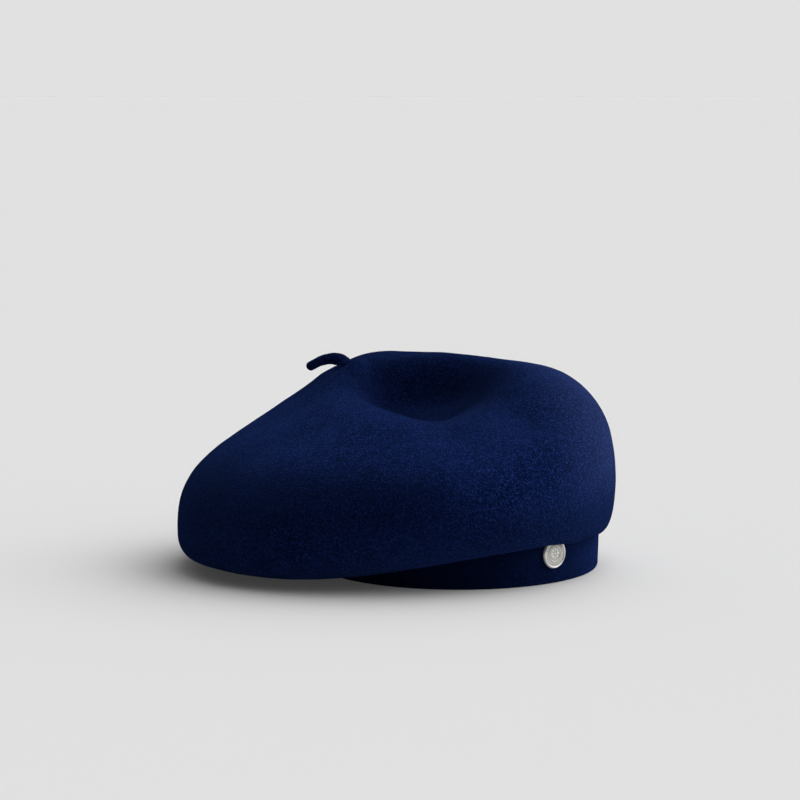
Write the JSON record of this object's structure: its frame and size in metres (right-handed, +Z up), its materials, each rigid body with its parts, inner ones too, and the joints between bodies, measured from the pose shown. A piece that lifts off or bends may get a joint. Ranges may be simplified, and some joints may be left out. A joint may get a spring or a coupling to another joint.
{
  "type": "beret",
  "caption": "Blocked wool-felt beret slouched to one side, with headband, lining, sweatband, curled stalk and a round pinned badge.",
  "frame": {"origin": "centre of the whole beret's footprint, on the surface that it stands on", "axes": "+Z up, +X towards the wearer's left (the side with the badge), -Y towards the front"},
  "size_m": [0.275, 0.255, 0.1279],
  "materials": {
    "felt": "navy wool felt with a short soft nap",
    "felt_band": "navy wool felt, cut strip",
    "grosgrain": "dark navy ribbed ribbon",
    "satin": "dark navy satin",
    "label_tape": "white woven tape",
    "woven_label": "dark woven damask, blank",
    "silver": "silver-coloured cast metal, worn satin",
    "brass": "plain stamped brass",
    "thread": "navy sewing thread"
  },
  "bodies": {
    "root": {"crown": "felt", "headband": "felt_band", "stalk_root": "felt", "sweatband": "grosgrain", "bow_knot": "grosgrain", "bow_left_loop": "grosgrain", "bow_right_loop": "grosgrain", "lining_side": "satin", "lining_tip": "satin", "lining_thread": "thread", "crown_seam_thread": "thread", "sweatband_thread": "thread", "back_joint_thread": "thread", "maker_label": "woven_label"},
    "stalk": {"stalk": "felt"},
    "badge": {"badge_disc": "silver", "badge_post": "brass"},
    "clutch": {"clutch_cup": "brass"},
    "wing_front": {"clutch_wing_front": "brass"},
    "wing_back": {"clutch_wing_back": "brass"},
    "care_label": {"care_label": "label_tape"},
    "size_label": {"size_label": "label_tape"}
  },
  "joints": [
    {"name": "stalk_bend", "type": "hinge", "parent": "root", "child": "stalk", "pos_m": [-0.0338, 0.038, 0.12245], "axis": [0, 1, 0], "range_deg": [-5, 60], "stiffness_Nm_per_rad": 0.004},
    {"name": "badge_spin", "type": "hinge", "parent": "root", "child": "badge", "pos_m": [0.09414, -0.07927, 0.0187], "axis": [0.6762, -0.7368, 0], "continuous": true},
    {"name": "clutch_pull", "type": "slide", "parent": "root", "child": "clutch", "axis": [-0.6762, 0.7368, 0], "range_m": [0, 0.008]},
    {"name": "wing_front_squeeze", "type": "hinge", "parent": "clutch", "child": "wing_front", "pos_m": [0.08753, -0.07665, 0.0187], "axis": [0, 0, -1], "range_deg": [0, 20], "stiffness_Nm_per_rad": 0.001},
    {"name": "wing_back_squeeze", "type": "hinge", "parent": "clutch", "child": "wing_back", "pos_m": [0.09209, -0.07246, 0.0187], "axis": [0, 0, 1], "range_deg": [0, 20], "stiffness_Nm_per_rad": 0.001},
    {"name": "care_label_flip", "type": "hinge", "parent": "root", "child": "care_label", "pos_m": [0.08241, 0.08205, 0.0275], "axis": [-0.8161, 0.5779, 0], "range_deg": [0, 110]},
    {"name": "size_label_flip", "type": "hinge", "parent": "root", "child": "size_label", "pos_m": [-0.0359, 0.04838, 0.0275], "axis": [-0.4539, -0.891, 0], "range_deg": [0, 110]}
  ],
  "couplings": [
    {"joint": "wing_back_squeeze", "follows": "wing_front_squeeze", "ratio": 1}
  ]
}
